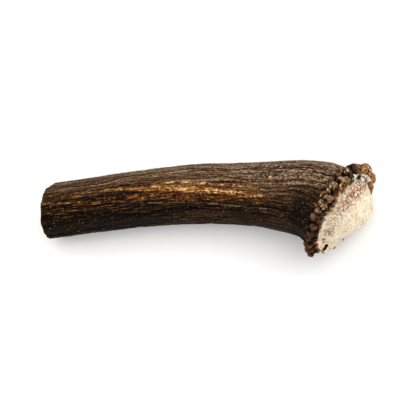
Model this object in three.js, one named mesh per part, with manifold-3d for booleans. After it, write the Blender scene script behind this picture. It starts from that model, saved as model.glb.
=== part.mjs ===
// Base of a shed red deer antler: a length of beam sawn off at one end, the pearled burr at
// the other, and the domed seal of bone where the antler let go of the skull.
// Millimetres, +Z up, long axis along X, lying on its side as it comes to rest on a table.

import * as THREE from 'three';
import { LoftGeometry } from 'three/addons/geometries/LoftGeometry.js';
import { mergeVertices } from 'three/addons/utils/BufferGeometryUtils.js';
import Module from 'manifold-3d';

const wasm = await Module();
wasm.setup();

// Centre line of the beam from sawn end to burr, with the radius of the bone at each station.
const STATIONS = [
  { x: -104.7, y: -1.0, z: 17.0, radius: 16.9 },
  { x: -71.2, y: 3.5, z: 17.6, radius: 17.2 },
  { x: -38.5, y: 7.5, z: 18.2, radius: 17.9 },
  { x: -5.7, y: 9.8, z: 18.8, radius: 18.6 },
  { x: 27.4, y: 9.0, z: 20.3, radius: 19.6 },
  { x: 54.4, y: 6.4, z: 24.6, radius: 22.6 },
  { x: 73.0, y: 2.6, z: 29.7, radius: 25.4 },
  { x: 87.5, y: -3.8, z: 33.25, radius: 29.0 },
];
const BURR_NORMAL = new THREE.Vector3(0.84, -0.528, 0.127).normalize();

// Saw cut: skewed a few degrees off square.
const CUT_NORMAL = new THREE.Vector3(-0.99, 0.055, -0.13).normalize();
const CUT_SPARE = 8; // beam lofted this far past the cut, then sawn away
const CHIP_NORMAL = new THREE.Vector3(-0.62, 0.77, 0.12).normalize(); // broken corner of the cut
const CHIP_REACH = 11.3; // from the centre of the cut to the chipped face

// Sections of the beam, with the long furrows and ridges that run down it.
const AROUND = 40; // points round each section
const BEAM_SECTIONS = 26;
const OVAL = 0.018; // the beam is a little wider than it is deep
const LEAN_START = 0.74; // fraction of the beam where sections begin to lean to the burr
const BURR_SMOOTHING = 0.5; // share of the ridge height lost by the time they reach the burr
const SWAY_RATE = 2.6; // radians of wander from one end of the beam to the other
const RIDGES = [
  { count: 7, height: 0.45, phase: 0.6, sway: 0.35 },
  { count: 11, height: 0.36, phase: 2.1, sway: -0.35 },
];

// Burr and seal, measured along the burr normal from the burr plane.
const SHOULDER_RADIUS = 27.5;
const SHOULDER_HEIGHT = 2.6;
const SHOULDER_RIDGE = 0.4; // share of the ridge height left on the shoulder
const SEAL_RADIUS = 24.9; // the flat rim of the seal
const SEAL_BASE = 3.4;
const SEAL_OFFSET = -1.4; // the rim sits off centre on the burr
const DOME_RADIUS = 23.2;
const DOME_STEP = 0.3; // from the rim up to the foot of the dome
const DOME_RISE = 17.6;
const DOME_OFFSET = 1.5; // the dome starts nearer the crown than the rim does
const DOME_LEAN = 4.2; // and leans further that way as it rises
const DOME_DROP = 1.1; // and a little downwards
const DOME_FULLNESS = 1.66; // a cone at 1, a bowl at 2
const DOME_SECTIONS = 7;
const DOME_TIP = 0.1; // radius of the small cap on top, as a fraction
const SEAL_RIDGE = 0.3;

// Pearls of the burr: rows of rounded knobs, sizes as half-widths.
const PEARL_ROWS = [
  { count: 25, radius: 24.5, height: -6.2, out: 5.0, along: 3.9, round: 3.6, phase: 0.4 },
  { count: 23, radius: 27.3, height: -0.8, out: 5.8, along: 4.2, round: 4.3, phase: 0.0 },
  { count: 22, radius: 25.8, height: 3.0, out: 3.9, along: 2.6, round: 3.5, phase: 0.7 },
];
// Where the rows swell or shrink, in radians round the burr.
const SWELLS = [
  { angle: -0.35, spread: 0.85, gain: -0.42 }, // crowded out by the large knobs
  { angle: 3.85, spread: 0.38, gain: -0.5 }, // chipped away down to the seal
];

// The largest knobs, each where it grew: degrees round the burr, place and half-widths.
const KNOBS = [
  { at: -133, radius: 27.6, height: 3.2, out: 2.6, round: 2.8, along: 2.0 },
  { at: -117, radius: 28.6, height: 2.8, out: 2.6, round: 2.6, along: 2.2 },
  { at: -99, radius: 33.2, height: 0.0, out: 2.4, round: 2.4, along: 2.4 },
  { at: -90, radius: 30.6, height: -0.6, out: 3.5, round: 3.2, along: 3.4 },
  { at: -77, radius: 30.4, height: 0.0, out: 3.4, round: 3.0, along: 3.2 },
  { at: -97, radius: 28.6, height: 1.2, out: 3.4, round: 3.0, along: 3.0 },
  { at: -65, radius: 29.0, height: 0.6, out: 2.8, round: 2.8, along: 2.8 },
  { at: -54, radius: 29.2, height: 1.6, out: 3.0, round: 2.8, along: 2.8 },
  { at: -43, radius: 29.4, height: 2.8, out: 2.6, round: 2.8, along: 2.4 },
  { at: -30, radius: 29.5, height: 1.0, out: 3.4, round: 3.2, along: 3.0 },
  { at: -32, radius: 26.6, height: 5.4, out: 3.2, round: 3.4, along: 3.0 },
  { at: -20, radius: 28.8, height: 1.5, out: 3.0, round: 2.8, along: 2.6 },
  { at: -11, radius: 29.4, height: 3.0, out: 3.5, round: 3.3, along: 3.4 },
  { at: -12, radius: 24.6, height: 6.4, out: 3.2, round: 3.4, along: 3.0 },
  { at: -1, radius: 29.8, height: 3.8, out: 2.4, round: 3.2, along: 3.6 },
  { at: 1, radius: 24.8, height: 5.8, out: 3.8, round: 4.0, along: 3.8 },
  { at: 3, radius: 29.8, height: 1.0, out: 2.6, round: 2.8, along: 2.4 },
  { at: 15, radius: 29.4, height: 1.0, out: 3.2, round: 3.4, along: 3.0 },
  { at: 21, radius: 27.6, height: 4.0, out: 3.0, round: 2.6, along: 2.6 },
  { at: 28, radius: 28.4, height: 2.6, out: 3.6, round: 3.4, along: 3.5 },
  { at: 35, radius: 28.0, height: 4.0, out: 3.0, round: 3.2, along: 2.8 },
  { at: 46, radius: 29.0, height: 1.5, out: 2.8, round: 3.2, along: 3.0 },
  { at: 60, radius: 29.3, height: 0.0, out: 4.7, round: 4.6, along: 4.6 },
  { at: 70, radius: 29.2, height: 2.6, out: 3.6, round: 3.6, along: 3.4 },
  { at: 84, radius: 29.9, height: 2.2, out: 4.8, round: 4.6, along: 4.8 },
  { at: 103, radius: 29.8, height: 3.6, out: 4.0, round: 4.6, along: 4.2 },
  { at: 122, radius: 28.6, height: 2.4, out: 3.2, round: 4.2, along: 3.2 },
];

// No two pearls are alike: each property swings by its own rate, in radians from one to the next.
const SIZE_SWING = { by: 0.14, rate: 2.4 };
const SMALL_SWING = { by: 0.08, rate: 5.1 };
const PLACE_SWING = { by: 0.18, rate: 3.7 }; // in pearl spacings
const SQUASH_SWING = { by: 0.16, rate: 1.9 };
const HEIGHT_SWING = { by: 0.7, rate: 2.4 }; // millimetres
const SPIN_RATE = 1.3;
const ROW_PHASE = 5; // radians of swing from one row's phase to the next

const WELD = 1e-4;
const FINEST = 0.25; // detail smaller than this is merged away

function toManifold(geometry) {
  const bare = new THREE.BufferGeometry();
  bare.setAttribute('position', geometry.getAttribute('position'));
  bare.setIndex(geometry.getIndex());
  const merged = mergeVertices(bare, WELD);
  return new wasm.Manifold(new wasm.Mesh({
    numProp: 3,
    vertProperties: new Float32Array(merged.getAttribute('position').array),
    triVerts: new Uint32Array(merged.getIndex().array),
  }));
}

function toGeometry(solid) {
  const mesh = solid.getMesh();
  const geometry = new THREE.BufferGeometry();
  geometry.setAttribute('position', new THREE.BufferAttribute(mesh.vertProperties, 3));
  geometry.setIndex(new THREE.BufferAttribute(mesh.triVerts, 1));
  return geometry;
}

// Across and upward directions of a section that faces along the given normal.
function sectionAxes(normal) {
  const across = new THREE.Vector3(-normal.y, normal.x, 0).normalize();
  const upward = new THREE.Vector3().crossVectors(normal, across);
  return { across, upward };
}

function sectionPoint(centre, axes, angle, radius) {
  return centre.clone()
    .addScaledVector(axes.upward, radius * Math.cos(angle))
    .addScaledVector(axes.across, radius * Math.sin(angle));
}

// One ring of points at a fraction `travel` of the beam. `relief` fades the ridges out.
function section(centre, normal, radius, travel, relief) {
  const axes = sectionAxes(normal);
  const wander = Math.sin(SWAY_RATE * travel);
  const points = [];
  for (let i = 0; i < AROUND; i++) {
    const angle = -2 * Math.PI * i / AROUND;
    let local = radius * (1 - OVAL * Math.cos(2 * angle));
    for (const ridge of RIDGES) {
      const turn = ridge.count * (angle + ridge.sway * wander) + ridge.phase;
      local += relief * ridge.height * Math.sin(turn);
    }
    points.push(sectionPoint(centre, axes, angle, local));
  }
  return points;
}

// Beam, burr shoulder and seal dome as one skin.
const centreLine = new THREE.CatmullRomCurve3(
  STATIONS.map((s) => new THREE.Vector3(s.x, s.y, s.z)));
const radiusLine = new THREE.CatmullRomCurve3(
  STATIONS.map((s) => new THREE.Vector3(s.x, s.radius, 0)));
const burrCentre = centreLine.getPoint(1);
const burrAxes = sectionAxes(BURR_NORMAL);

const sections = [];
const start = centreLine.getPoint(0);
const startTangent = centreLine.getTangent(0);
sections.push(section(
  start.clone().addScaledVector(startTangent, -CUT_SPARE), startTangent, STATIONS[0].radius, 0, 1));
for (let i = 0; i <= BEAM_SECTIONS; i++) {
  const t = i / BEAM_SECTIONS;
  const lean = Math.max(0, (t - LEAN_START) / (1 - LEAN_START));
  const normal = centreLine.getTangent(t).lerp(BURR_NORMAL, lean).normalize();
  const relief = 1 - BURR_SMOOTHING * lean;
  sections.push(section(centreLine.getPoint(t), normal, radiusLine.getPoint(t).y, t, relief));
}
const shoulder = burrCentre.clone().addScaledVector(BURR_NORMAL, SHOULDER_HEIGHT);
sections.push(section(shoulder, BURR_NORMAL, SHOULDER_RADIUS, 1, SHOULDER_RIDGE));
const rim = burrCentre.clone()
  .addScaledVector(BURR_NORMAL, SEAL_BASE)
  .addScaledVector(burrAxes.across, SEAL_OFFSET);
sections.push(section(rim, BURR_NORMAL, SEAL_RADIUS, 1, SEAL_RIDGE));
for (let i = 0; i <= DOME_SECTIONS; i++) {
  const spread = THREE.MathUtils.lerp(1, DOME_TIP, i / DOME_SECTIONS);
  const rise = 1 - spread ** DOME_FULLNESS;
  const centre = burrCentre.clone()
    .addScaledVector(BURR_NORMAL, SEAL_BASE + DOME_STEP + DOME_RISE * rise)
    .addScaledVector(burrAxes.across, DOME_OFFSET + DOME_LEAN * rise)
    .addScaledVector(burrAxes.upward, -DOME_DROP * rise);
  sections.push(section(centre, BURR_NORMAL, DOME_RADIUS * spread, 1, SEAL_RIDGE * spread));
}
let solid = toManifold(new LoftGeometry(sections, { capStart: true, capEnd: true }));

// Adds one pearl to the bone, as half-widths outward, round and along the burr.
function grow(angle, radius, height, size, spin) {
  const pearl = new THREE.IcosahedronGeometry(1, 1);
  pearl.rotateX(spin);
  pearl.scale(size.out, size.round, size.along);
  const outward = sectionPoint(new THREE.Vector3(), burrAxes, angle, 1);
  const round = new THREE.Vector3().crossVectors(BURR_NORMAL, outward);
  pearl.applyMatrix4(new THREE.Matrix4().makeBasis(outward, round, BURR_NORMAL));
  const seat = sectionPoint(burrCentre, burrAxes, angle, radius).addScaledVector(BURR_NORMAL, height);
  pearl.translate(seat.x, seat.y, seat.z);
  solid = solid.add(toManifold(pearl));
}
function bump(angle, centre, spread) {
  const gap = Math.atan2(Math.sin(angle - centre), Math.cos(angle - centre));
  return Math.exp(-(gap * gap) / (2 * spread * spread));
}
function swing(kind, i, phase = 0) {
  return kind.by * Math.sin(kind.rate * i + phase);
}
for (const row of PEARL_ROWS) {
  for (let i = 0; i < row.count; i++) {
    const phase = ROW_PHASE * row.phase;
    const angle = 2 * Math.PI * (i + row.phase + swing(PLACE_SWING, i)) / row.count;
    const swell = SWELLS.reduce((sum, s) => sum + s.gain * bump(angle, s.angle, s.spread), 1);
    const scale = swell * (1 + swing(SIZE_SWING, i, phase) + swing(SMALL_SWING, i));
    const squash = 1 + swing(SQUASH_SWING, i, row.phase);
    const size = {
      out: row.out * scale,
      round: row.round * scale * squash,
      along: row.along * scale / squash,
    };
    grow(angle, row.radius, row.height + swing(HEIGHT_SWING, i, phase), size, SPIN_RATE * i);
  }
}
KNOBS.forEach((knob, i) => {
  grow(THREE.MathUtils.degToRad(knob.at), knob.radius, knob.height, knob, SPIN_RATE * i);
});

// Saw the end off and break its corner.
function slice(body, normal, reach) {
  const keep = normal.clone().negate();
  return body.trimByPlane([keep.x, keep.y, keep.z], start.dot(keep) - reach);
}
solid = slice(slice(solid, CUT_NORMAL, 0), CHIP_NORMAL, CHIP_REACH).simplify(FINEST);

// Pockets closed in between the pearls are solid bone, so only the outer skin is kept.
const [bone] = solid.decompose().sort((a, b) => b.volume() - a.volume());

const geometry = toGeometry(bone);
geometry.computeBoundingBox();
const box = geometry.boundingBox;
const shift = new THREE.Vector3(
  -(box.min.x + box.max.x) / 2, -(box.min.y + box.max.y) / 2, -box.min.z);
geometry.translate(shift.x, shift.y, shift.z);
geometry.computeVertexNormals();

const antler = new THREE.Mesh(geometry, new THREE.MeshStandardMaterial({
  name: 'antler bone', color: 0x4a3826, roughness: 0.72, metalness: 0,
}));
antler.name = 'antler';

const part = new THREE.Group();
part.name = 'deer_antler';
part.add(antler);

export default part;
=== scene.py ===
import math

import bmesh
import bpy
import numpy as np
from mathutils import Matrix, Vector


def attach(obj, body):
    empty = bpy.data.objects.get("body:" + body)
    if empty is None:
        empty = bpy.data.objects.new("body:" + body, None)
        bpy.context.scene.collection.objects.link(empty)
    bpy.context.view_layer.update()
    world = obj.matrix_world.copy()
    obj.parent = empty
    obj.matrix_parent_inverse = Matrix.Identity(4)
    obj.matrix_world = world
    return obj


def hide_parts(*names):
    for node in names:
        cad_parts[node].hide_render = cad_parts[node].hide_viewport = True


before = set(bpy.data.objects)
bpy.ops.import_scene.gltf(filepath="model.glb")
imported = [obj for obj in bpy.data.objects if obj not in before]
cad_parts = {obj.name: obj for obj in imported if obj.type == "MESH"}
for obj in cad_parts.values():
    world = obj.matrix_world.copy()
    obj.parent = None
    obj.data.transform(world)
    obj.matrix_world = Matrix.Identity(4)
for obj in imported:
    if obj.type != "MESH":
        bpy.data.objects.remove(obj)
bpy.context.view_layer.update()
scene = bpy.context.scene


# ---------------------------------------------------------------------------------------------
# The set: a matt white table under one broad soft light, a little behind the antler, with a
# pale room all round that lifts the shadow. The camera looks down from a long way off.
# ---------------------------------------------------------------------------------------------
VIEW_DISTANCE = 6.0
VIEW_AIM = Vector((-0.0005, 0.0011, 0.025))
VIEW_BACK = Vector((0.2079, -0.2366, 0.9491)).normalized()  # from the antler to the camera
VIEW_WIDTH = 0.2662  # metres across the picture at the antler
SENSOR = 36.0
KEY_FROM = Vector((0.42, 0.36, 0.83))
KEY_STRENGTH = 1.4
KEY_SPREAD = math.radians(75)
ROOM_STRENGTH = 1.08
TABLE_HALF = 30.0

scene.view_settings.view_transform = "Standard"

camera_data = bpy.data.cameras.new("camera")
camera_data.sensor_width = SENSOR
camera_data.lens = SENSOR * VIEW_DISTANCE / VIEW_WIDTH
camera = bpy.data.objects.new("camera", camera_data)
scene.collection.objects.link(camera)
view_right = (Vector((1, 0, 0)) - VIEW_BACK * VIEW_BACK.x).normalized()
view_turn = Matrix((view_right, VIEW_BACK.cross(view_right), VIEW_BACK)).transposed()
camera.matrix_world = Matrix.Translation(VIEW_AIM + VIEW_BACK * VIEW_DISTANCE) @ view_turn.to_4x4()
scene.camera = camera


def linear(code):
    """An sRGB hex colour as the linear RGBA that shaders take."""
    parts = [int(code[i:i + 2], 16) / 255 for i in (1, 3, 5)]
    return (*[c / 12.92 if c <= 0.04045 else ((c + 0.055) / 1.055) ** 2.4 for c in parts], 1.0)


def finish_of(name, roughness, ior, gloss):
    """A new material, with its constant values on the shader's own sockets."""
    finish = bpy.data.materials.new(name)
    finish.use_nodes = True
    surface = finish.node_tree.nodes["Principled BSDF"]
    surface.inputs["Roughness"].default_value = roughness
    surface.inputs["IOR"].default_value = ior
    surface.inputs["Specular IOR Level"].default_value = gloss
    return finish, finish.node_tree, surface


key_data = bpy.data.lights.new("broad key", "SUN")
key_data.energy = KEY_STRENGTH
key_data.angle = KEY_SPREAD
key = bpy.data.objects.new("broad key", key_data)
key.rotation_euler = KEY_FROM.to_track_quat("Z", "Y").to_euler()
scene.collection.objects.link(key)

room = bpy.data.worlds.new("pale room")
room.use_nodes = True
room.node_tree.nodes["Background"].inputs["Color"].default_value = linear("#fffefc")
room.node_tree.nodes["Background"].inputs["Strength"].default_value = ROOM_STRENGTH
scene.world = room

table_mesh = bpy.data.meshes.new("table_top")
table_corners = [(x * TABLE_HALF, y * TABLE_HALF, 0) for x, y in ((-1, -1), (1, -1), (1, 1), (-1, 1))]
table_mesh.from_pydata(table_corners, [], [(0, 1, 2, 3)])
table = bpy.data.objects.new("table_top", table_mesh)
scene.collection.objects.link(table)
# Matt white paint: it gives the eye nothing but the shadow.
table_paint, tree, surface = finish_of("matt white table top", 0.9, 1.5, 0.0)
surface.inputs["Base Color"].default_value = linear("#f7f7f7")
table_mesh.materials.append(table_paint)


# ---------------------------------------------------------------------------------------------
# The beam: the shaft of the antler, a tube of hard bone that grew as one length. The blood
# vessels of the velvet lay along it, and left the long furrows. Sizes are in millimetres.
# ---------------------------------------------------------------------------------------------
MM = 0.001
BOX_SHIFT = np.array([-1.786, 2.276, -0.344])  # from the stations' frame into the part's own
STATIONS = np.array([  # centre line x, y, z, and radius
    (-104.7, -1.0, 17.0, 16.9),
    (-71.2, 3.5, 17.6, 17.2),
    (-38.5, 7.5, 18.2, 17.9),
    (-5.7, 9.8, 18.8, 18.6),
    (27.4, 9.0, 20.3, 19.6),
    (54.4, 6.4, 24.6, 22.6),
    (73.0, 2.6, 29.7, 25.4),
    (87.5, -3.8, 33.25, 29.0),
])
STATIONS[:, :3] += BOX_SHIFT
AROUND = 180  # points round each section
BEAM_SECTIONS = 190
CUT_SPARE = 8.0  # length past the cut, for the saw to take off
OVAL = 0.018  # the beam is a little wider than it is deep
LEAN_START = 0.74  # share of the line after which its sections turn to the burr
BURR_SMOOTHING = 0.5  # share of the ridges' height that is gone at the burr
SWAY_RATE = 2.6  # radians of the sway's wave from one end to the other
RIDGES = [  # count round the beam, height, phase, sway
    (7, 0.45, 0.6, 0.35),
    (11, 0.36, 2.1, -0.35),
]
LINE_POINTS = 400


def unit(v):
    """Vectors brought to a length of one."""
    return v / np.linalg.norm(v, axis=-1, keepdims=True)


def spline(knots, t):
    """A smooth curve through the knots, for t from 0 to 1."""
    ends = np.vstack([2 * knots[0] - knots[1], knots, 2 * knots[-1] - knots[-2]])
    spans = len(knots) - 1
    i = np.clip(np.floor(t * spans).astype(int), 0, spans - 1)
    f = (t * spans - i)[:, None]
    a, b, c, d = ends[i], ends[i + 1], ends[i + 2], ends[i + 3]
    ab, bc, cd = (np.sqrt(np.linalg.norm(q - p, axis=1))[:, None] for p, q in ((a, b), (b, c), (c, d)))
    leave = ((b - a) / ab - (c - a) / (ab + bc) + (c - b) / bc) * bc
    reach = ((c - b) / bc - (d - b) / (bc + cd) + (d - c) / cd) * bc
    return b + leave * f + (3 * (c - b) - 2 * leave - reach) * f ** 2 + (2 * (b - c) + leave + reach) * f ** 3


def section_axes(normal):
    """Two directions in a section: one that lies level, and one square to it."""
    across = unit(np.stack([-normal[..., 1], normal[..., 0], 0 * normal[..., 0]], axis=-1))
    return across, np.cross(normal, across)


BURR_NORMAL = unit(np.array([0.84, -0.528, 0.127]))
BURR_CENTRE = STATIONS[-1, :3]
BURR_ACROSS, BURR_UPWARD = section_axes(BURR_NORMAL)

line_t = np.linspace(0, 1, LINE_POINTS)
line_at = spline(STATIONS[:, :3], line_t)
line_radius = spline(STATIONS[:, [0, 3]], line_t)[:, 1]
line_run = np.concatenate([[0], np.cumsum(np.linalg.norm(np.diff(line_at, axis=0), axis=1))])
line_lean = np.clip((line_t - LEAN_START) / (1 - LEAN_START), 0, None)[:, None]
line_normal = unit(unit(np.gradient(line_at, axis=0)) * (1 - line_lean) + BURR_NORMAL * line_lean)


def on_line(values, t):
    """A number or a vector of the centre line, read at t."""
    if values.ndim == 1:
        return np.interp(t, line_t, values)
    return np.stack([np.interp(t, line_t, column) for column in values.T], axis=-1)


def ring(centre, normal, radius, travel, relief):
    """The points of one section, with the ridges as they are at that part of the beam."""
    across, upward = section_axes(normal)
    angle = -2 * np.pi * np.arange(AROUND) / AROUND
    reach = radius * (1 - OVAL * np.cos(2 * angle))
    for count, height, phase, sway in RIDGES:
        reach += relief * height * np.sin(count * (angle + sway * math.sin(SWAY_RATE * travel)) + phase)
    return centre + reach[:, None] * (np.cos(angle)[:, None] * upward + np.sin(angle)[:, None] * across)


rings = [ring(line_at[0] - CUT_SPARE * line_normal[0], line_normal[0], line_radius[0], 0, 1)]
for t in np.linspace(0, 1, BEAM_SECTIONS):
    relief = 1 - BURR_SMOOTHING * max(0, (t - LEAN_START) / (1 - LEAN_START))
    rings.append(ring(on_line(line_at, t), unit(on_line(line_normal, t)), on_line(line_radius, t), t, relief))


def add(tree, kind, inputs=(), **settings):
    """Adds a node. Its inputs, in order or by name, are numbers, colours, nodes or sockets."""
    node = tree.nodes.new(kind)
    for name, value in settings.items():
        setattr(node, name, value)
    for key, value in inputs.items() if isinstance(inputs, dict) else enumerate(inputs):
        if isinstance(value, bpy.types.Node):
            value = next(o for o in value.outputs if o.enabled)
        if isinstance(value, bpy.types.NodeSocket):
            tree.links.new(value, node.inputs[key])
        else:
            node.inputs[key].default_value = value
    return node


MATH, VECTOR, COMBINE = "ShaderNodeMath", "ShaderNodeVectorMath", "ShaderNodeCombineXYZ"
NOISE, RANGE, MIX = "ShaderNodeTexNoise", "ShaderNodeMapRange", "ShaderNodeMix"
BARK_GROWTH = {  # length along the beam and width across it in millimetres, octaves, waviness
    "ridge": (40, 3.8, 2.0, 0.2),
    "furrow": (62, 3.6, 1.5, 0.35),
    "fibre": (9, 1.1, 3.0, 0.3),
    "grit": (1.9, 0.95, 2.0, 0.5),
}
FURROW_EDGE = 0.05


def bark_growth(tree, grain):
    """The pattern of the bark, made alike for its relief and for its colour."""
    made = {}
    for name, (long, wide, octaves, warp) in BARK_GROWTH.items():
        place = add(tree, VECTOR, (grain, (1 / long, 1 / wide, 1 / wide)), operation="MULTIPLY")
        made[name] = add(tree, NOISE, {"Vector": place, "Scale": 1.0, "Detail": octaves, "Roughness": 0.55,
                                       "Distortion": warp})
    middle = add(tree, MATH, (made["furrow"], 0.5), operation="SUBTRACT")
    gap = add(tree, MATH, [middle], operation="ABSOLUTE")
    made["furrow"] = add(tree, RANGE, {"Value": gap, "From Min": 0.0, "From Max": FURROW_EDGE, "To Min": 1.0,
                                       "To Max": 0.0})
    return made


def paint_over(tree, below, mask, low, high, above, by=None):
    """Lays a colour over another where a mask passes from low to high, and `by` lets it through."""
    share = add(tree, RANGE, {"Value": mask, "From Min": low, "From Max": high})
    if by is not None:
        share = add(tree, MATH, (share, by), operation="MULTIPLY", use_clamp=True)
    return add(tree, MIX, {0: share, 6: below, 7: above}, data_type="RGBA")


# Weathered antler bark: brown-black in the hollows and on the lower side, partly stain and partly painted
# shade; greyer and paler above, partly painted light and sheen; ridges rubbed to gold, the palest of it
# partly a painted highlight; and nut-brown pearls with painted shade in their clefts and painted glints.
MOTTLE_SIZE = 2.4 * MM
FLECK_SIZE = 1.1 * MM
BARK_TONE = -1.45  # takes off what ridge, fibre and grit average, a half each
CRUMB_TONE = 0.6  # what grit, mottle and fibre average in the crumbs
BARK_BUMP = 0.5 * MM

bark_finish, tree, surface = finish_of("weathered antler bark", 0.6, 1.5, 0.03)
read = {name: add(tree, "ShaderNodeAttribute", attribute_name=name).outputs["Fac"]
        for name in ("pearled", "painted_light_and_tone", "painted_neck_shade", "gold", "gilt", "red", "grey", "crest", "stand", "burr_light_and_tone",
                     "scar", "bruise", "crusty", "rusty", "nick")}
place = add(tree, "ShaderNodeTexCoord").outputs["Object"]
mottle = add(tree, NOISE, {"Vector": place, "Scale": 1 / MOTTLE_SIZE, "Detail": 2.0, "Roughness": 0.6})
flecks = add(tree, NOISE, {"Vector": place, "Scale": 1 / FLECK_SIZE, "Detail": 2.0})
grain = add(tree, "ShaderNodeAttribute", attribute_name="grain").outputs["Vector"]
growth = bark_growth(tree, grain)
# The bark's tone comes from its pattern, and is paler on crests and on the side that faces the light, darker
# in the furrows and just short of the burr. The crest, side and burr-end terms are painted light and shade,
# partly over real wear and stain.
tone = BARK_TONE
for source, gain in ((growth["ridge"], 0.9), (growth["fibre"], 1.0), (growth["grit"], 1.0),
                     (read["painted_light_and_tone"], 1.0), (growth["furrow"], -0.22), (read["crest"], 1.4),
                     (read["painted_neck_shade"], -0.6)):
    tone = add(tree, MATH, (source, gain, tone), operation="MULTIPLY_ADD")
crumbs = add(tree, MATH, (growth["grit"], mottle))
crumbs = add(tree, MATH, (growth["fibre"], -0.8, crumbs), operation="MULTIPLY_ADD")
crumbs = add(tree, MATH, (crumbs, CRUMB_TONE), operation="SUBTRACT")
tone = add(tree, MATH, (crumbs, read["crusty"], tone), operation="MULTIPLY_ADD")
colour = linear("#090503")
for low, high, code in ((-0.3, 0.15, "#21140a"), (0.1, 0.5, "#3d291a"), (0.5, 0.9, "#66503c"),
                        (0.9, 1.25, "#97806a")):
    colour = paint_over(tree, colour, tone, low, high, linear(code))
colour = paint_over(tree, colour, flecks, 0.64, 0.82, linear("#7d6a54"))
worn = add(tree, MATH, (growth["grit"], growth["fibre"]))
flaked = add(tree, MATH, (mottle, 0.8, worn), operation="MULTIPLY_ADD")
gold = paint_over(tree, linear("#281406"), flaked, 1.18, 1.42, linear("#8e5a26"))
# The palest cream on the rubbed gold is partly rubbed bone, partly a painted highlight.
gold = paint_over(tree, gold, flaked, 1.45, 1.65, linear("#e6bd80"))
red = paint_over(tree, linear("#150b05"), flaked, 1.28, 1.5, linear("#633515"))
red = paint_over(tree, red, flaked, 1.5, 1.68, linear("#a3682e"))
grey = paint_over(tree, linear("#1d150e"), worn, 0.9, 1.15, linear("#7a6a50"))
dashes = add(tree, MATH, (growth["fibre"], 0.7, worn), operation="MULTIPLY_ADD")
colour = paint_over(tree, colour, dashes, 1.5, 1.68, linear("#7d4c1d"), by=read["gilt"])
colour = paint_over(tree, colour, read["red"], 0.15, 0.7, red)
colour = paint_over(tree, colour, read["gold"], 0.15, 0.6, gold)
colour = paint_over(tree, colour, read["grey"], 0.2, 0.7, grey, by=add(tree, RANGE, (worn, 0.75, 0.98)))
# The pearls are nut-brown, and painted light and shade lies over that: paler where they stand up and on the
# side of the burr that faces the light, black in the clefts between them, with painted glints.
raised = add(tree, MATH, (read["stand"], 1.5, read["burr_light_and_tone"]), operation="MULTIPLY_ADD")
raised = add(tree, MATH, (mottle, 0.9, raised), operation="MULTIPLY_ADD")
pearl = paint_over(tree, linear("#100a06"), raised, -0.1, 1.0, linear("#442d1e"))
pearl = paint_over(tree, pearl, raised, 1.1, 2.3, linear("#735438"))
# Orange-tan on the crown, where the burr faces the light most: partly its own colour, partly painted light.
pearl = paint_over(tree, pearl, read["burr_light_and_tone"], 0.75, 1.5, linear("#b07a42"), by=mottle)
shade = add(tree, RANGE, {"Value": read["burr_light_and_tone"], "From Min": -1.0, "From Max": 0.4, "To Min": -0.4,
                          "To Max": 0.08})
painted_glints = add(tree, MATH, (mottle, shade))
painted_glints = add(tree, MATH, (read["crest"], 2.0, painted_glints), operation="MULTIPLY_ADD")
pearl = paint_over(tree, pearl, painted_glints, 1.05, 1.4, linear("#c8a57c"))
# Painted shade: the clefts between the pearls go black.
pearl = paint_over(tree, pearl, read["crest"], 0.04, -0.12, linear("#080503"))
pearl = paint_over(tree, pearl, read["rusty"], 0.1, 0.8, linear("#7d4f28"))
colour = paint_over(tree, colour, read["pearled"], 0.0, 1.0, pearl)
scar = paint_over(tree, linear("#e0d4be"), mottle, 0.5, 0.42, linear("#6d4d30"))
blue = add(tree, MATH, (read["bruise"], 0.45, flecks), operation="MULTIPLY_ADD")
scar = paint_over(tree, scar, blue, 0.76, 0.88, linear("#141d26"))
colour = paint_over(tree, colour, read["scar"], 0.3, 0.6, scar)
colour = paint_over(tree, colour, read["nick"], 0.3, 0.7, linear("#c9b183"))
tree.links.new(colour.outputs[2], surface.inputs["Base Color"])
skin = add(tree, MATH, (growth["fibre"], growth["grit"]))
bump = add(tree, "ShaderNodeBump", {"Strength": 1.0, "Distance": BARK_BUMP, "Height": skin})
tree.links.new(bump.outputs[0], surface.inputs["Normal"])


# ---------------------------------------------------------------------------------------------
# The seal: the bone that joined the antler to the skull, shed as an off-centre dome on a flat
# rim. The rim broke away unevenly all round, and in a few large teeth at the foot.
# ---------------------------------------------------------------------------------------------
SHOULDER_RADIUS = 27.5
SHOULDER_HEIGHT = 2.6
SHOULDER_RIDGE = 0.4
SEAL_RADIUS = 24.9
SEAL_BASE = 3.4
SEAL_OFFSET = -1.4
DOME_RADIUS = 23.2
DOME_STEP = 0.3
DOME_RISE = 17.6
DOME_OFFSET = 1.5
DOME_LEAN = 4.2
DOME_DROP = 1.1
DOME_FULLNESS = 1.66
DOME_SECTIONS = 40
DOME_TIP = 0.02


def on_burr(across, upward, lift):
    """A point in the burr's own frame, carried into the part's."""
    return BURR_CENTRE + across * BURR_ACROSS + upward * BURR_UPWARD + lift * BURR_NORMAL


rings.append(ring(on_burr(0, 0, SHOULDER_HEIGHT), BURR_NORMAL, SHOULDER_RADIUS, 1, SHOULDER_RIDGE))
rings.append(ring(on_burr(SEAL_OFFSET, 0, SEAL_BASE), BURR_NORMAL, SEAL_RADIUS, 1, 0))
for spread in np.linspace(1, DOME_TIP, DOME_SECTIONS):
    rise = 1 - spread ** DOME_FULLNESS
    lift = SEAL_BASE + DOME_STEP + DOME_RISE * rise
    centre = on_burr(DOME_OFFSET + DOME_LEAN * rise, -DOME_DROP * rise, lift)
    rings.append(ring(centre, BURR_NORMAL, DOME_RADIUS * spread, 1, 0))

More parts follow.
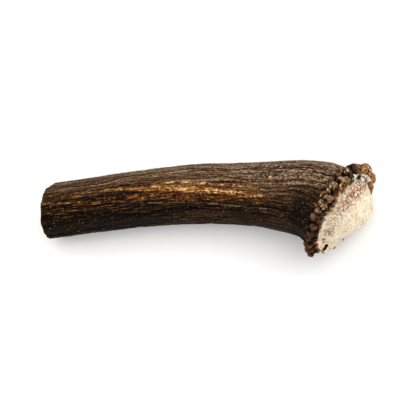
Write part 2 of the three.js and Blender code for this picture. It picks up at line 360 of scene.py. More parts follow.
walls = []
for i in range(len(rings) - 1):
    this, following = i * AROUND, (i + 1) * AROUND
    for j in range(AROUND):
        k = (j + 1) % AROUND
        walls.append((this + j, this + k, following + k, following + j))
walls.append(tuple(reversed(range(AROUND))))
walls.append(tuple(range((len(rings) - 1) * AROUND, len(rings) * AROUND)))
tube = bpy.data.meshes.new("beam and seal")
tube.from_pydata((np.concatenate(rings) * MM).tolist(), [], walls)

# Porous seal bone: chalky cream, with tan pores and the reddish stain of its last blood.
CLOUD_SIZE = 6.2 * MM
SEAL_PORE_SIZE = 1.6 * MM  # real pores are about half this, and too fine for the picture
SEAL_BUMP = 0.4 * MM

seal_finish, tree, surface = finish_of("porous seal bone", 0.75, 1.55, 0.2)
read = {name: add(tree, "ShaderNodeAttribute", attribute_name=name).outputs["Fac"]
        for name in ("blood", "mauve", "smudge", "amber", "specks", "rimward", "crest")}
place = add(tree, "ShaderNodeTexCoord").outputs["Object"]
cloud = add(tree, NOISE, {"Vector": place, "Scale": 1 / CLOUD_SIZE, "Detail": 3.0})
pores = add(tree, NOISE, {"Vector": place, "Scale": 1 / SEAL_PORE_SIZE, "Detail": 2.0, "Roughness": 0.6})
broken = add(tree, RANGE, {"Value": pores, "From Min": 0.36, "From Max": 0.52})
colour = paint_over(tree, linear("#e1d7c4"), cloud, 0.35, 0.7, linear("#d5c6ab"))
colour = paint_over(tree, colour, pores, 0.5, 0.67, linear("#b89b69"))
colour = paint_over(tree, colour, read["crest"], -0.04, -0.2, linear("#b39260"))
for name, code in (("blood", "#83533a"), ("mauve", "#7d5f52"), ("smudge", "#5f584f"), ("amber", "#cf9526"),
                   ("specks", "#26303a")):
    colour = paint_over(tree, colour, read[name], 0.1, 0.9, linear(code), by=broken)
colour = paint_over(tree, colour, read["rimward"], 0.3, 0.95, linear("#8f6238"), by=cloud)
tree.links.new(colour.outputs[2], surface.inputs["Base Color"])
bump = add(tree, "ShaderNodeBump", {"Strength": 0.7, "Distance": SEAL_BUMP, "Height": pores})
tree.links.new(bump.outputs[0], surface.inputs["Normal"])


# ---------------------------------------------------------------------------------------------
# The burr: the ring of bony pearls that grew round the foot of the antler, in crowded rows.
# The largest stand at the crown, over the seal, and along the side that faces up.
# ---------------------------------------------------------------------------------------------
PEARL_ROWS = [
    {"Count": 25, "Radius": 24.5, "Height": -6.2, "Out": 5.0, "Along": 3.9, "Round": 3.6, "Phase": 0.4},
    {"Count": 23, "Radius": 27.3, "Height": -0.8, "Out": 5.8, "Along": 4.2, "Round": 4.3, "Phase": 0.0},
    {"Count": 22, "Radius": 25.8, "Height": 3.0, "Out": 3.9, "Along": 2.6, "Round": 3.5, "Phase": 0.7},
]
SWELLS = [  # where the rows shrink: radians round the burr, spread, gain
    (-0.35, 0.85, -0.42),
    (3.85, 0.38, -0.5),
]
SIZE_SWING = (0.14, 2.4)  # no two pearls alike: how much, and radians from one to the next
SMALL_SWING = (0.08, 5.1)
PLACE_SWING = (0.18, 3.7)
SQUASH_SWING = (0.16, 1.9)
HEIGHT_SWING = (0.7, 2.4)
ROW_PHASE = 5.0
KNOBS = [  # degrees round the burr, radius, height, half-widths outward, round and along
    (-133, 27.6, 3.2, 2.6, 2.8, 2.0),
    (-117, 28.6, 2.8, 2.6, 2.6, 2.2),
    (-99, 33.2, 0.0, 2.4, 2.4, 2.4),
    (-90, 30.6, -0.6, 3.5, 3.2, 3.4),
    (-77, 30.4, 0.0, 3.4, 3.0, 3.2),
    (-97, 28.6, 1.2, 3.4, 3.0, 3.0),
    (-65, 29.0, 0.6, 2.8, 2.8, 2.8),
    (-54, 29.2, 1.6, 3.0, 2.8, 2.8),
    (-43, 29.4, 2.8, 2.6, 2.8, 2.4),
    (-30, 29.5, 1.0, 3.4, 3.2, 3.0),
    (-32, 27.4, 4.0, 3.0, 3.2, 2.8),
    (-20, 28.8, 1.5, 3.0, 2.8, 2.6),
    (-11, 29.4, 3.0, 3.5, 3.3, 3.4),
    (-12, 25.4, 5.8, 2.6, 3.2, 2.8),
    (-1, 29.8, 3.8, 2.4, 3.2, 3.6),
    (1, 25.8, 5.2, 2.9, 3.6, 3.4),
    (3, 29.8, 1.0, 2.6, 2.8, 2.4),
    (15, 29.4, 1.0, 3.2, 3.4, 3.0),
    (21, 27.6, 4.0, 3.0, 2.6, 2.6),
    (28, 28.4, 2.6, 3.6, 3.4, 3.5),
    (35, 28.0, 4.0, 3.0, 3.2, 2.8),
    (46, 29.0, 1.5, 2.8, 3.2, 3.0),
    (56, 29.6, -2.2, 2.5, 3.0, 3.2),
    (60, 29.0, 0.0, 4.4, 4.8, 4.6),
    (70, 29.2, 2.6, 3.6, 3.6, 3.4),
    (84, 29.9, 2.2, 4.8, 4.8, 4.8),
    (103, 29.4, 3.6, 3.7, 4.8, 4.2),
    (122, 28.6, 2.4, 3.2, 4.2, 3.2),
]
PEARL_FINENESS = 4


def new_tree(name, sizes):
    """An empty Geometry Nodes tree with a named input for each size, and one for the finish."""
    tree = bpy.data.node_groups.new(name, "GeometryNodeTree")
    tree.interface.new_socket("Geometry", in_out="INPUT", socket_type="NodeSocketGeometry")
    for size, value in sizes.items():
        kind = "NodeSocketInt" if isinstance(value, int) else "NodeSocketFloat"
        tree.interface.new_socket(size, in_out="INPUT", socket_type=kind)
    tree.interface.new_socket("Finish", in_out="INPUT", socket_type="NodeSocketMaterial")
    tree.interface.new_socket("Geometry", in_out="OUTPUT", socket_type="NodeSocketGeometry")
    return tree, add(tree, "NodeGroupInput").outputs


def end_tree(tree, geometry, finish):
    """Closes a tree: its instances are made real and get their finish."""
    solid = add(tree, "GeometryNodeRealizeInstances", [geometry])
    painted = add(tree, "GeometryNodeSetMaterial", {"Geometry": solid, "Material": finish})
    add(tree, "NodeGroupOutput", [painted])


row_tree, given = new_tree("pearl row", PEARL_ROWS[0])
index = add(row_tree, "GeometryNodeInputIndex")
row_phase = add(row_tree, MATH, (given["Phase"], ROW_PHASE), operation="MULTIPLY")
swings = {}
for name, (by, rate), phase in (("size", SIZE_SWING, row_phase), ("small", SMALL_SWING, 0.0),
                                ("place", PLACE_SWING, 0.0), ("squash", SQUASH_SWING, given["Phase"]),
                                ("height", HEIGHT_SWING, row_phase)):
    turn = add(row_tree, MATH, (index, rate, phase), operation="MULTIPLY_ADD")
    wave = add(row_tree, MATH, [turn], operation="SINE")
    swings[name] = add(row_tree, MATH, (wave, by), operation="MULTIPLY")
place = add(row_tree, MATH, (add(row_tree, MATH, (index, given["Phase"])), swings["place"]))
share = add(row_tree, MATH, (place, given["Count"]), operation="DIVIDE")
angle = add(row_tree, MATH, (share, 2 * math.pi), operation="MULTIPLY")
bulge = 1.0
for where, spread, gain in SWELLS:
    gap = add(row_tree, MATH, (angle, where), operation="SUBTRACT")
    near = add(row_tree, MATH, (gap, math.pi, -math.pi), operation="WRAP")
    square = add(row_tree, MATH, (near, near), operation="MULTIPLY")
    fall = add(row_tree, MATH, (square, -0.5 / spread ** 2), operation="MULTIPLY")
    fall = add(row_tree, MATH, [fall], operation="EXPONENT")
    bulge = add(row_tree, MATH, (fall, gain, bulge), operation="MULTIPLY_ADD")
swell = add(row_tree, MATH, (add(row_tree, MATH, (swings["size"], swings["small"])), 1.0))
swell = add(row_tree, MATH, (swell, bulge), operation="MULTIPLY")
squash = add(row_tree, MATH, (swings["squash"], 1.0))
sine = add(row_tree, MATH, [angle], operation="SINE")
cosine = add(row_tree, MATH, [angle], operation="COSINE")
seats = add(row_tree, COMBINE, (
    add(row_tree, MATH, (sine, given["Radius"]), operation="MULTIPLY"),
    add(row_tree, MATH, (cosine, given["Radius"]), operation="MULTIPLY"),
    add(row_tree, MATH, (given["Height"], swings["height"]))))
widths = add(row_tree, COMBINE, (
    given["Out"],
    add(row_tree, MATH, (given["Round"], squash), operation="MULTIPLY"),
    add(row_tree, MATH, (given["Along"], squash), operation="DIVIDE")))
pearls = add(row_tree, "GeometryNodeInstanceOnPoints", {
    "Points": add(row_tree, "GeometryNodePoints", (given["Count"], seats)),
    "Instance": add(row_tree, "GeometryNodeMeshIcoSphere", {"Radius": 1.0, "Subdivisions": PEARL_FINENESS}),
    "Rotation": add(row_tree, COMBINE, {2: add(row_tree, MATH, (math.pi / 2, angle), operation="SUBTRACT")}),
    "Scale": add(row_tree, VECTOR, {0: widths, "Scale": swell}, operation="SCALE")})
end_tree(row_tree, pearls, given["Finish"])


def shaped(mesh, dress):
    """The plain mesh that comes out of a mesh with the modifiers that dress() gives it."""
    maker = bpy.data.objects.new("maker", mesh)
    scene.collection.objects.link(maker)
    dress(maker.modifiers)
    bpy.context.view_layer.update()
    made = bpy.data.meshes.new_from_object(maker.evaluated_get(bpy.context.evaluated_depsgraph_get()))
    bpy.data.objects.remove(maker)
    return made


def grown(tree, sizes, mesh):
    """Runs a Geometry Nodes tree on a mesh, with the sizes given to its named inputs."""
    values = {**sizes, "Finish": bark_finish}

    def dress(modifiers):
        growth = modifiers.new("growth", "NODES")
        growth.node_group = tree
        for socket in tree.interface.items_tree:
            if socket.in_out == "INPUT" and socket.name in values:
                growth[socket.identifier] = values[socket.name]
    return shaped(mesh, dress)


parts = bmesh.new()
for row in PEARL_ROWS:
    parts.from_mesh(grown(row_tree, row, bpy.data.meshes.new("row")))
for degrees, radius, height, outward, round_, along in KNOBS:
    turn = math.radians(90 - degrees)
    seat = Matrix.Translation((radius * math.cos(turn), radius * math.sin(turn), height))
    size = Matrix.Diagonal((outward, round_, along, 1))
    bmesh.ops.create_icosphere(parts, subdivisions=PEARL_FINENESS, radius=1.0,
                               matrix=seat @ Matrix.Rotation(turn, 4, "Z") @ size)
burr_turn = Matrix([BURR_ACROSS, BURR_UPWARD, BURR_NORMAL]).transposed().to_4x4()
parts.transform(Matrix.Scale(MM, 4) @ Matrix.Translation(BURR_CENTRE) @ burr_turn)


# ---------------------------------------------------------------------------------------------
# The sawn end: a hand-saw cut across the beam, some degrees off square, with one corner
# broken away. The cut shows a ring of dense bone round a core like a sponge.
# ---------------------------------------------------------------------------------------------
CUT_NORMAL = unit(np.array([-0.99, 0.055, -0.13]))
CUT_CENTRE = line_at[0]
CHIP_NORMAL = unit(np.array([-0.62, 0.77, 0.12]))
CHIP_REACH = 11.3
ON_CUT = 1e-7  # metres within which a corner counts as lying on the cut

parts.from_mesh(tube)
for normal, reach in ((CUT_NORMAL, 0.0), (CHIP_NORMAL, CHIP_REACH)):
    cut = bmesh.ops.bisect_plane(
        parts, geom=parts.verts[:] + parts.edges[:] + parts.faces[:], dist=ON_CUT,
        plane_co=Vector((CUT_CENTRE + reach * normal) * MM), plane_no=Vector(normal), clear_outer=True)
    rim = [e for e in cut["geom_cut"] if isinstance(e, bmesh.types.BMEdge)]
    bmesh.ops.holes_fill(parts, edges=rim, sides=0)
loose = bpy.data.meshes.new("parts before fusing")
parts.to_mesh(loose)
parts.free()

# Sawn antler: a ring of dense tan bone round a spongy core, with the scratches of the saw.
SAW_STROKES = (0.0, -0.34, 0.94)  # across the strokes of the saw
CORE_RADIUS = 11.8
CORE_WOBBLE = 0.6
PORE_SIZE = 1.7  # real pores are about half this, and too fine for the picture
SCRATCH_RATE = 1.4  # scratches in a millimetre
BLOTCH_RATE = 0.3  # blotches in a millimetre
SAW_BUMP = 0.2 * MM

sawn_finish, tree, surface = finish_of("sawn antler", 0.6, 1.55, 0.3)
place = add(tree, "ShaderNodeTexCoord").outputs["Object"]
place = add(tree, VECTOR, {0: place, "Scale": 1 / MM}, operation="SCALE")
core = add(tree, "ShaderNodeAttribute", attribute_name="core").outputs["Fac"]
stroke = add(tree, VECTOR, (place, SAW_STROKES), operation="DOT_PRODUCT").outputs["Value"]
strokes = add(tree, NOISE, {"W": stroke, "Scale": SCRATCH_RATE, "Detail": 3.0}, noise_dimensions="1D")
blotches = add(tree, NOISE, {"Vector": place, "Scale": BLOTCH_RATE, "Detail": 3.0})
sponge = add(tree, "ShaderNodeTexVoronoi", {"Vector": place, "Scale": 1 / PORE_SIZE})
dense = paint_over(tree, linear("#cdb993"), blotches, 0.4, 0.65, linear("#b0966c"))
dense = paint_over(tree, dense, strokes, 0.45, 0.3, linear("#94794f"))
spongy = paint_over(tree, linear("#2f2013"), sponge, 0.25, 0.5, linear("#8d7150"))
spongy = paint_over(tree, spongy, blotches, 0.45, 0.7, linear("#5f4629"))
colour = add(tree, MIX, {0: core, 6: dense, 7: spongy}, data_type="RGBA")
tree.links.new(colour.outputs[2], surface.inputs["Base Color"])
bump = add(tree, "ShaderNodeBump", {"Strength": 0.8, "Distance": SAW_BUMP, "Height": strokes})
tree.links.new(bump.outputs[0], surface.inputs["Normal"])


# ---------------------------------------------------------------------------------------------
# One bone. Beam, seal and pearls grew together, so they are fused into one closed skin, and
# each spot of it learns where on the antler it lies.
# ---------------------------------------------------------------------------------------------
VOXEL = 0.67
SMOOTHING = 0.5  # how far each pass moves a spot towards its neighbours
SMOOTHING_PASSES = 2


def fuse(modifiers):
    """The modifiers that make one skin of shells that overlap."""
    remesh = modifiers.new("fuse", "REMESH")
    remesh.mode = "VOXEL"
    remesh.voxel_size = VOXEL * MM
    smooth = modifiers.new("smooth", "SMOOTH")
    smooth.factor = SMOOTHING
    smooth.iterations = SMOOTHING_PASSES


def drop_pockets(mesh):
    """Keeps the outer skin, and drops the closed pockets that fusing leaves between pearls."""
    body = bmesh.new()
    body.from_mesh(mesh)
    left = set(body.verts)
    islands = []
    while left:
        front = [left.pop()]
        island = list(front)
        while front:
            near = {e.other_vert(v) for v in front for e in v.link_edges} & left
            left -= near
            front = list(near)
            island += front
        islands.append(island)
    islands.sort(key=len)
    bmesh.ops.delete(body, geom=[v for island in islands[:-1] for v in island], context="VERTS")
    body.to_mesh(mesh)
    body.free()


def values_of(collection, name, width, kind=np.float32):
    """A property of every vertex, edge, face or corner, with `width` numbers for each."""
    flat = np.empty(len(collection) * width, dtype=kind)
    collection.foreach_get(name, flat)
    return flat.reshape(-1, width) if width > 1 else flat


def store(mesh, name, values):
    """Keeps a value for each vertex on the mesh, where finishes and trees read it by name."""
    vector = values.ndim == 2
    layer = mesh.attributes.new(name, "FLOAT_VECTOR" if vector else "FLOAT", "POINT")
    layer.data.foreach_set("vector" if vector else "value", values.astype(np.float32).ravel())


def ease(x, low, high):
    """Goes smoothly from 0 to 1 as x goes from low to high."""
    f = np.clip((x - low) / (high - low), 0, 1)
    return f * f * (3 - 2 * f)


def bell(gap, width):
    """1 where there is no gap, and next to nothing at twice the width."""
    return np.exp(-(gap / width) ** 2)


def from_table(table, at):
    """Reads a list of (place, value), in straight lines from one to the next."""
    return np.interp(at, *np.array(table, float).T)


def arc(angle, centre):
    """The gap between two angles, the short way round."""
    return np.arctan2(np.sin(angle - centre), np.cos(angle - centre))


bone = shaped(loose, fuse)
drop_pockets(bone)
spots = values_of(bone.vertices, "co", 3) / MM

# Along the beam: how far from the sawn end, the angle round it, and the distance from its line.
SEARCH_STEPS = 12
SEARCH_PACE = 0.8  # share of the remaining way that each step takes

t = np.interp(spots[:, 0], line_at[:, 0], line_t)
for _ in range(SEARCH_STEPS):
    behind = np.sum((spots - on_line(line_at, t)) * unit(on_line(line_normal, t)), axis=1)
    t = np.clip(t + SEARCH_PACE * behind / line_run[-1], 0, 1)
normal = unit(on_line(line_normal, t))
beam_across, beam_upward = section_axes(normal)
out = spots - on_line(line_at, t)
run = on_line(line_run, t) + np.sum(out * normal, axis=1)
side, rise = np.sum(out * beam_across, axis=1), np.sum(out * beam_upward, axis=1)
angle = np.arctan2(side, rise)
degrees = np.degrees(angle)
reach = np.hypot(side, rise)

# Over the burr: height above its plane, and place across it.
from_burr = spots - BURR_CENTRE
lift, burr_x, burr_y = from_burr @ BURR_NORMAL, from_burr @ BURR_ACROSS, from_burr @ BURR_UPWARD
burr_angle = np.arctan2(burr_x, burr_y)

BARK_ENDS = (-6.0, -2.5)  # lift over which the bark gives way to pearls
SEAL_EDGE = [  # degrees round the burr, radius
    (-180, 26), (-130, 27.5), (-90, 27.5), (-75, 26), (-65, 24.2), (-52, 22.8), (-38, 21.6), (-21, 20.8),
    (-2, 20.8), (16, 22.2), (29, 23.2), (60, 23.4), (100, 24), (130, 25), (180, 26),
]
EDGE_TEETH = [(23, 0.35, 0.4), (37, 0.3, 1.9), (9, 0.5, 0.0)]  # count round the edge, height, phase
EDGE_OPENS = (6.0, 9.0)  # lift over which the edge opens on to the whole dome
OPENED_REACH = 4.0  # how much wider the edge is then
BARE_FOOT = (-2.15, 0.28)  # where the rim is bare bone down to the table: radians, spread
FOOT_REACH = 3.0  # how much wider the edge is there
RIM_DIP = 0.7  # how far under the rim the seal may lie
FOOT_DIP = 4.5  # how much further under it may lie at the foot
RIM_TOP = 5.0  # lift up to which all inside the edge is seal
DOME_SKIN = 1.2  # how far outside the dome the seal may lie above that
SAWN_SKIN = 0.3  # how near the cut a spot counts as sawn
CHIP_SKIN = 0.4  # how near the chip's plane a spot counts as broken
CORE_LOBES = 5
CORE_BLUR = 0.8
SCAR = (41, 103, 28.8)  # the broken inside of the crown: from and to, in degrees, and its radius
SCAR_FADE = {"degrees": 8, "radius": 1.5, "lift": (2.0, 3.5)}
BRUISES = [(48, 9), (66, 10), (85, 8)]  # degrees round the crown, spread
BRUISE_REACH = (25.2, 2.3)  # how far out they lie, spread
RUST_WIDTH = 1.3  # of the brown edge where the pearls meet the seal
RUST_LIFT = (0.5, 2.5)  # lift over which it comes in
# How pale the pearls are round the burr is painted light: palest on the crown that faces the light, darkest
# at the foot and on the crown's shaded left knob. The crown's orange-tan is keyed to it too.
BURR_LIGHT_AND_TONE = [  # degrees round the burr, how much paler its pearls are
    (-180, -0.2), (-130, -0.9), (-85, -0.75), (-55, -0.9), (-35, -0.5), (-18, 0.35), (42, 0.3),
    (49, -0.9), (55, -0.6), (61, 0.6), (70, 1.1), (84, 1.35), (95, 1.9), (115, 1.9), (130, 0.4),
    (180, -0.2),
]
WAIST = {"degrees": (66, 16), "lift": (-9.0, 5.0), "depth": 4.3}  # where the beam sinks in behind the crown

burr_degrees, burr_reach = np.degrees(burr_angle), np.hypot(burr_x, burr_y)
rise = np.clip((lift - SEAL_BASE - DOME_STEP) / DOME_RISE, 0, 1)
dome_reach = DOME_RADIUS * (1 - rise) ** (1 / DOME_FULLNESS)
from_dome = np.hypot(burr_x - DOME_OFFSET - DOME_LEAN * rise, burr_y + DOME_DROP * rise) - dome_reach
teeth = sum(height * np.sin(count * burr_angle + phase) for count, height, phase in EDGE_TEETH)
foot = np.exp(-arc(burr_angle, BARE_FOOT[0]) ** 2 / (2 * BARE_FOOT[1] ** 2))
opened = ease(lift, *EDGE_OPENS)
edge = from_table(SEAL_EDGE, burr_degrees)
seal_in = edge + (1 - opened) * teeth + OPENED_REACH * opened + FOOT_REACH * foot - burr_reach
is_seal = ((seal_in > 0) & (lift > SEAL_BASE - RIM_DIP - FOOT_DIP * foot)
           & ((lift < RIM_TOP) | (from_dome < DOME_SKIN)))
is_sawn = np.abs((spots - CUT_CENTRE) @ CUT_NORMAL) < SAWN_SKIN
core_reach = reach + CORE_WOBBLE * np.sin(CORE_LOBES * angle)
core = (1 - ease(core_reach, CORE_RADIUS - CORE_BLUR, CORE_RADIUS + CORE_BLUR)) * is_sawn
is_chipped = np.abs((spots - CUT_CENTRE) @ CHIP_NORMAL - CHIP_REACH) < CHIP_SKIN
is_bark = ~(is_seal | is_sawn)
pearled = ease(lift, *BARK_ENDS)
scar = (ease(burr_degrees, SCAR[0], SCAR[0] + SCAR_FADE["degrees"])
        * (1 - ease(burr_degrees, SCAR[1] - SCAR_FADE["degrees"], SCAR[1]))
        * (1 - ease(burr_reach, SCAR[2] - SCAR_FADE["radius"], SCAR[2]))
        * ease(lift, *SCAR_FADE["lift"]) * is_bark)
bruise = np.max([bell(burr_degrees - where, spread) for where, spread in BRUISES], axis=0)
bruise *= bell(burr_reach - BRUISE_REACH[0], BRUISE_REACH[1])
burr_light_and_tone = from_table(BURR_LIGHT_AND_TONE, burr_degrees)
rusty = bell(seal_in, RUST_WIDTH) * ease(lift, *RUST_LIFT) * is_bark

# Ridges rubbed bright, each a line of (distance from the sawn end, degrees round the beam).
RUBBED = [
    {"tone": "gold", "width": 1.7, "height": 0.35,
     "line": [(4, 18), (33, 15), (50, 11), (70, 5), (90, -2), (111, -8), (127, -12), (141, -15), (165, -17)],
     "strength": [(0, 0.2), (30, 0.26), (55, 0.45), (76, 1.0), (128, 1.0), (146, 0.5), (166, 0.0)]},
    {"tone": "gold", "width": 0.8, "height": 0.2,
     "line": [(60, 16), (94, 12), (113, 5), (123, 5), (136, 0), (152, -4)],
     "strength": [(60, 0.0), (80, 0.5), (100, 0.9), (145, 0.8), (156, 0.0)]},
    {"tone": "gold", "width": 0.9, "height": 0.2,
     "line": [(0, 2), (17, -4), (36, -11), (53, -16), (70, -20)],
     "strength": [(0, 0.3), (45, 0.34), (72, 0.0)]},
    {"tone": "gold", "width": 0.6, "height": 0.15,
     "line": [(0, -15), (20, -23), (45, -28)],
     "strength": [(0, 0.26), (25, 0.26), (45, 0.0)]},
    {"tone": "red", "width": 2.0, "height": 0.25,
     "line": [(50, -9), (76, -13), (90, -18), (105, -21), (121, -25), (150, -27)],
     "strength": [(50, 0.0), (66, 0.8), (105, 0.9), (120, 0.55), (146, 0.5), (160, 0.0)]},
    {"tone": "grey", "width": 0.55, "height": 0.3,
     "line": [(50, -20), (69, -25), (85, -30), (103, -33), (121, -37), (140, -39), (157, -39), (180, -41)],
     "strength": [(52, 0.0), (68, 0.6), (150, 0.7), (180, 0.2)]},
]
# How pale the bark is at each degree round the beam, near the sawn end and from the middle on: painted
# light, paler and greyer on the side that faces the light, and painted shade on the lower side, over the
# real tone of the bark, which is darker near the sawn end.
LIGHT_AND_TONE_NEAR_CUT = [(-180, 0.3), (-110, 0.0), (-60, -0.24), (-30, -0.24), (-10, -0.1), (5, 0.04), (18, 0.18),
                (35, 0.52), (60, 0.68), (120, 0.6), (180, 0.3)]
LIGHT_AND_TONE_BEYOND = [(-180, 0.3), (-110, 0.1), (-70, 0.06), (-45, 0.03), (-25, 0.14), (-10, 0.5), (10, 0.68),
              (35, 0.75), (70, 0.76), (120, 0.6), (180, 0.3)]
LIGHT_AND_TONE_TURNS = (40, 95)  # distance from the sawn end over which the one gives way to the other
CHIP_DARKER = 0.6  # how much darker the broken corner is
GILT_SIDE = [(-45, 0.0), (-30, 0.7), (-18, 1.0), (20, 1.0), (32, 0.0)]  # degrees, how many gold flecks
GILT_FADES = (110, 165)  # distance from the sawn end over which they end
GILT_BY_BURR = [(-85, 0.0), (-60, 0.35), (0, 0.5), (25, 0.0)]  # degrees, how many there are by the burr
GILT_RETURNS = (125, 155)  # distance from the sawn end over which those begin
NICK = (153, 20, 1.1)  # a pale nick: distance from the sawn end, degrees, and its size
CRUSTY = {"most": 1.4, "run": (95, 150), "degrees": (-15, 20)}  # where the bark is crumbled, not streaked
# Painted shade on the bark where it sinks in just short of the burr.
NECK_SHADE = {"lift": (-26, -8), "degrees": (-20, 20)}  # darker bark short of the burr: where it comes and ends

tones = {tone: np.zeros(len(spots)) for tone in ("gold", "red", "grey")}
rubbed = np.zeros(len(spots))
for ridge in RUBBED:
    gap = np.radians(degrees - from_table(ridge["line"], run)) * reach
    shape = bell(gap, ridge["width"]) * from_table(ridge["strength"], run)
    tones[ridge["tone"]] = np.maximum(tones[ridge["tone"]], shape)
    rubbed += ridge["height"] * shape
waist_turn = (burr_degrees - WAIST["degrees"][0]) / WAIST["degrees"][1]
waist_lift = (lift - WAIST["lift"][0]) / WAIST["lift"][1]
rubbed -= WAIST["depth"] * np.exp(-waist_turn ** 2 - waist_lift ** 2)
near_cut, beyond = from_table(LIGHT_AND_TONE_NEAR_CUT, degrees), from_table(LIGHT_AND_TONE_BEYOND, degrees)
painted_light_and_tone = near_cut + (beyond - near_cut) * ease(run, *LIGHT_AND_TONE_TURNS) - CHIP_DARKER * is_chipped
gilt = from_table(GILT_SIDE, degrees) * (1 - ease(run, *GILT_FADES))
gilt += from_table(GILT_BY_BURR, degrees) * ease(run, *GILT_RETURNS)
nick = np.exp(-((run - NICK[0]) ** 2 + (np.radians(degrees - NICK[1]) * reach) ** 2) / NICK[2] ** 2)
crusty = CRUSTY["most"] * ease(run, *CRUSTY["run"]) * ease(degrees, *CRUSTY["degrees"])
painted_neck_shade = ease(lift, *NECK_SHADE["lift"]) * (1 - ease(degrees, *NECK_SHADE["degrees"]))

GRAIN_RADIUS = 19.0
store(bone, "grain", np.column_stack([run, GRAIN_RADIUS * np.cos(angle), GRAIN_RADIUS * np.sin(angle)]))
for name, values in {"bark": is_bark * (1 - pearled), "pearled": is_bark * pearled, "seal": is_seal * 1.0,
                     "sawn": is_sawn * 1.0, "rubbed": rubbed, "painted_light_and_tone": painted_light_and_tone, "painted_neck_shade": painted_neck_shade, "gilt": gilt,
                     "scar": scar, "bruise": bruise, "burr_light_and_tone": burr_light_and_tone, "crusty": crusty, "rusty": rusty,
                     "nick": nick, "core": core, **tones}.items():
    store(bone, name, values)

# Stains of the seal, each a line of (across, upward) on the burr, with how strong it is there.
STAINS = {
    "blood": {"width": 3.6, "line": [(23, 3, 0.9), (20, 9.2, 1.0), (15, 12.9, 1.0), (8.2, 17.1, 0.85),
                                     (1.1, 16.7, 0.8), (-4.1, 16.2, 0.7), (-9, 14.7, 0.55),
                                     (-13, 12.6, 0.4)]},
    "mauve": {"width": 3.0, "line": [(-11.5, 9.5, 0.4), (-14.5, 9.0, 0.6), (-16.5, 8.2, 1.0),
                                     (-17, 6.0, 1.0)]},
    "smudge": {"width": 1.2, "line": [(-22.5, -2.5, 0.9), (-21, 2.5, 0.9)]},
    "amber": {"width": 0.9, "line": [(-25.8, -4, 1.0), (-25.6, -5.5, 1.0)]},
    "specks": {"width": 1.1, "line": [(12, 20, 0.8), (7.5, 20.6, 0.9)]},
}
STAIN_POINTS = 60  # along each line
RIM_STAIN = 1.6  # width of the brown stain along the seal's edge

for name, stain in STAINS.items():
    line = np.array(stain["line"], float)
    steps = np.linspace(0, len(line) - 1, STAIN_POINTS)
    path = np.column_stack([np.interp(steps, np.arange(len(line)), column) for column in line.T])
    gaps = np.hypot(burr_x[:, None] - path[None, :, 0], burr_y[:, None] - path[None, :, 1])
    strength = path[gaps.argmin(axis=1), 2] * bell(gaps.min(axis=1), stain["width"])
    store(bone, name, strength * is_seal)
store(bone, "rimward", np.clip(1 - seal_in / RIM_STAIN, 0, 1) * is_seal * (1 - opened))

# The growth on the skin is real relief: ridges, furrows, fibres and grit on the bark, gnarls,
# crust and clefts on the pearls, pits and waves in the seal, and the sponge of the sawn core.
RELIEF = {"Ridge height": 1.5, "Furrow depth": 0.55, "Fibre height": 0.7, "Grit height": 0.5,
          "Pearl gnarls": 1.8, "Pearl crust": 0.35, "Pearl clefts": 1.0, "Pit depth": 0.3,
          "Sponge depth": 0.9}
GNARL_SIZE = 4.6
CRUST_SIZE = 2.0
FOLD_SIZE = 5.0
FOLD_WIDTH = 0.05  # how near the middle of the noise a cleft begins
PIT_SIZE = 1.8
WAVE_SIZE = 7.1

relief_tree, given = new_tree("growth relief", RELIEF)
grain = add(relief_tree, "GeometryNodeInputNamedAttribute", {"Name": "grain"}, data_type="FLOAT_VECTOR")
place = add(relief_tree, VECTOR, {0: add(relief_tree, "GeometryNodeInputPosition"), "Scale": 1 / MM},
            operation="SCALE")
zone = {name: add(relief_tree, "GeometryNodeInputNamedAttribute", {"Name": name}, data_type="FLOAT")
        for name in ("bark", "pearled", "seal", "core", "rubbed")}
growth = bark_growth(relief_tree, grain)
gnarls = add(relief_tree, NOISE, {"Vector": place, "Scale": 1 / GNARL_SIZE, "Detail": 1.0, "Distortion": 0.8})
crust = add(relief_tree, NOISE, {"Vector": place, "Scale": 1 / CRUST_SIZE, "Detail": 2.0, "Distortion": 0.3})
folds = add(relief_tree, NOISE, {"Vector": place, "Scale": 1 / FOLD_SIZE, "Detail": 0.0, "Distortion": 1.0})
folds = add(relief_tree, MATH, (folds, 0.5), operation="SUBTRACT")
folds = add(relief_tree, MATH, [folds], operation="ABSOLUTE")
clefts = add(relief_tree, RANGE, {"Value": folds, "From Min": 0.0, "From Max": FOLD_WIDTH, "To Min": -1.0,
                                  "To Max": 0.0})
pits = add(relief_tree, "ShaderNodeTexVoronoi", {"Vector": place, "Scale": 1 / PIT_SIZE})
sponge = add(relief_tree, "ShaderNodeTexVoronoi", {"Vector": place, "Scale": 1 / PORE_SIZE})
waves = add(relief_tree, NOISE, {"Vector": place, "Scale": 1 / WAVE_SIZE})
height = zone["rubbed"]
for pattern, middle, size, where in (
        (growth["ridge"], 0.5, "Ridge height", "bark"), (growth["fibre"], 0.5, "Fibre height", "bark"),
        (growth["grit"], 0.5, "Grit height", "bark"), (gnarls, 0.5, "Pearl gnarls", "pearled"),
        (crust, 0.5, "Pearl crust", "pearled"), (clefts, 0.0, "Pearl clefts", "pearled"),
        (pits, 0.4, "Pit depth", "seal"), (waves, 0.5, "Pit depth", "seal"),
        (sponge, 0.9, "Sponge depth", "core")):
    centred = add(relief_tree, MATH, (pattern, middle), operation="SUBTRACT")
    scaled = add(relief_tree, MATH, (centred, given[size]), operation="MULTIPLY")
    height = add(relief_tree, MATH, (scaled, zone[where], height), operation="MULTIPLY_ADD")
sunk = add(relief_tree, MATH, (growth["furrow"], given["Furrow depth"]), operation="MULTIPLY")
sunk = add(relief_tree, MATH, (sunk, zone["bark"]), operation="MULTIPLY")
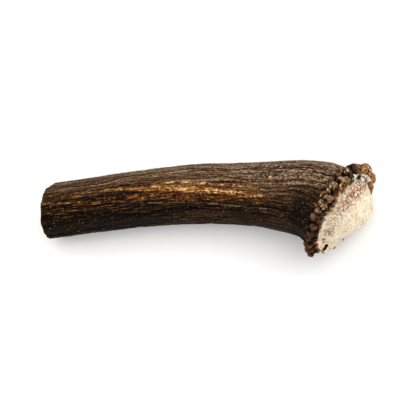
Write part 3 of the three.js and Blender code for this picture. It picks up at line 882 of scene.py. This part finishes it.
height = add(relief_tree, MATH, (height, sunk), operation="SUBTRACT")
offset = add(relief_tree, VECTOR, {
    0: add(relief_tree, "GeometryNodeInputNormal"),
    "Scale": add(relief_tree, MATH, (height, MM), operation="MULTIPLY")}, operation="SCALE")
raised = add(relief_tree, "GeometryNodeSetPosition", {"Geometry": given["Geometry"], "Offset": offset})
end_tree(relief_tree, raised, given["Finish"])
bone = grown(relief_tree, RELIEF, bone)

spots = values_of(bone.vertices, "co", 3) / MM
spots[:, 2] = np.maximum(spots[:, 2], 0.0)  # it rests on the table, so nothing reaches lower
bone.vertices.foreach_set("co", (spots * MM).ravel())
bone.update()

# How far each spot stands above its surroundings: hollows below zero, crests above.
CREST_PASSES = {"crest": 8, "stand": 56}
one, two = values_of(bone.edges, "vertices", 2, np.int32).T
neighbours = np.bincount(np.concatenate([one, two]), minlength=len(spots))[:, None]
facing = values_of(bone.vertex_normals, "vector", 3)
for name, passes in CREST_PASSES.items():
    around = spots
    for _ in range(passes):
        total = np.stack([
            np.bincount(one, around[two, k], len(spots)) + np.bincount(two, around[one, k], len(spots))
            for k in range(3)], axis=1)
        around = 0.5 * around + 0.5 * total / neighbours
    store(bone, name, np.sum((spots - around) * facing, axis=1))

bone.materials.clear()
for finish in (bark_finish, seal_finish, sawn_finish):
    bone.materials.append(finish)
corners = values_of(bone.loops, "vertex_index", 1, np.int32)
sides = values_of(bone.polygons, "loop_total", 1, np.int32)
face_of = np.repeat(np.arange(len(sides)), sides)
slots = np.zeros(len(sides), dtype=np.int32)
for slot, name in ((1, "seal"), (2, "sawn")):
    inside = values_of(bone.attributes[name].data, "value", 1)[corners]
    share = np.bincount(face_of, inside, len(sides)) / sides
    slots[share > 0.5] = slot  # a face goes where most of its corners lie
bone.polygons.foreach_set("material_index", slots)
bone.shade_smooth()

bone.name = "antler_bone"
antler = bpy.data.objects.new("antler_bone", bone)
scene.collection.objects.link(antler)
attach(antler, "root")
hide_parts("antler")

bpy.context.view_layer.update()
